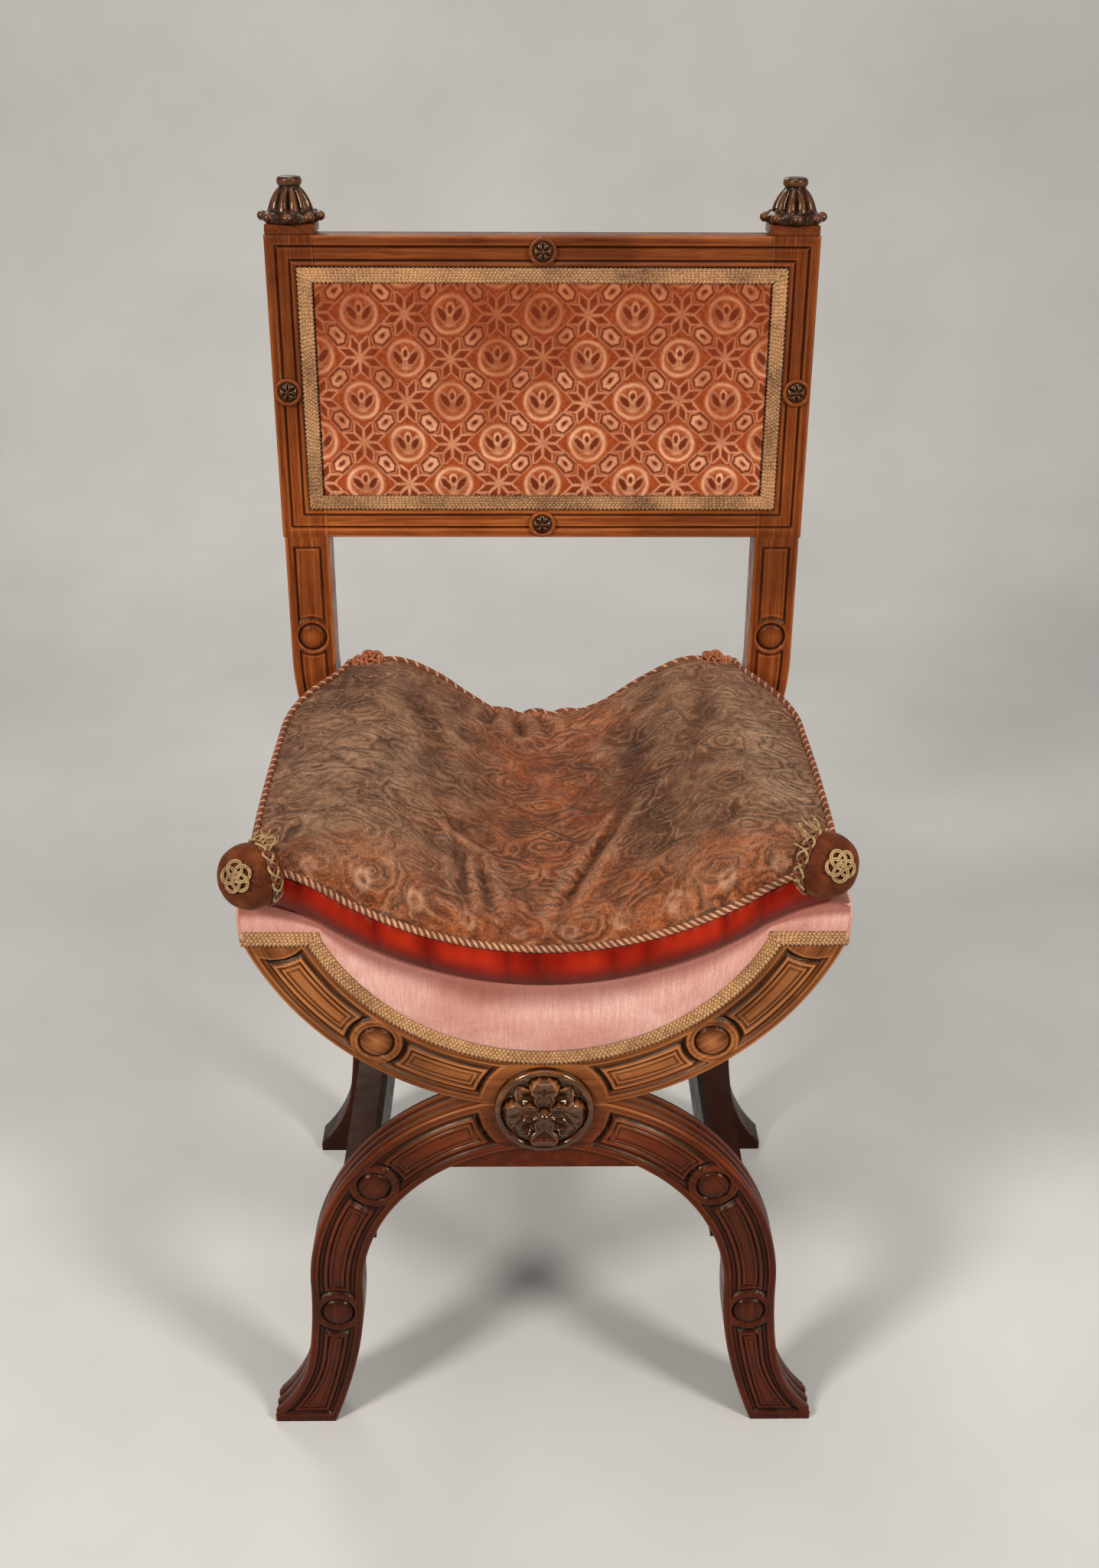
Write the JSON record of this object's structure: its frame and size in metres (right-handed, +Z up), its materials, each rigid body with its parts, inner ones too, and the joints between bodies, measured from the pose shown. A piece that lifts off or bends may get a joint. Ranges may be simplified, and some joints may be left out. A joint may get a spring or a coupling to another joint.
{
  "type": "curule chair",
  "caption": "X-framed curule chair with carved walnut frame, slung velvet seat, raked upholstered back with finials, and a loose corded cushion",
  "frame": {"origin": "on the floor under the middle of the chair's box", "axes": "+Z up, the chair faces -Y, +X is to the right as seen from the front"},
  "size_m": [0.5078, 0.4922, 1.0593],
  "materials": {
    "walnut": "satin, dark patina in the carving",
    "dark_walnut": "dark polished",
    "beech": "plain sawn",
    "stamped_velvet": "stamped pile",
    "pink_velvet": "worn pile",
    "gimp": "woven braid",
    "webbing": "coarse weave",
    "lining": "plain weave",
    "cushion_velvet": "worn stamped pile"
  },
  "bodies": {
    "chair": {"front_arm_left": "walnut", "front_arm_right": "walnut", "front_leg_left": "walnut", "front_leg_right": "walnut", "front_bridge_block": "walnut", "front_rosette": "walnut", "rear_arm_left": "walnut", "rear_arm_right": "walnut", "rear_leg_left": "walnut", "rear_leg_right": "walnut", "rear_bridge_block": "walnut", "side_stretcher_left": "walnut", "side_stretcher_right": "walnut", "back_post_left": "walnut", "back_post_right": "walnut", "back_top_rail": "walnut", "back_bottom_rail": "walnut", "back_patera_rings": "walnut", "finial_left": "dark_walnut", "finial_right": "dark_walnut", "back_patera_flowers": "dark_walnut", "seat_side_rail_left": "beech", "seat_side_rail_right": "beech", "seat_front_rail": "beech", "seat_rear_rail": "beech", "crossing_slips": "beech", "post_slips": "beech", "seat_rail_slips": "beech", "back_pad": "stamped_velvet", "seat_pad": "pink_velvet", "seat_gimp": "gimp", "back_gimp": "gimp", "seat_sling": "webbing", "back_webbing": "webbing", "back_lining": "lining", "seat_bottom_cover": "lining"},
    "cushion": {"cushion": "cushion_velvet", "macaroon_left": "cushion_velvet", "macaroon_right": "cushion_velvet"}
  },
  "joints": [
    {"name": "cushion_lift", "type": "slide", "parent": "chair", "child": "cushion", "axis": [0, 0, 1], "range_m": [0, 0.25]}
  ]
}
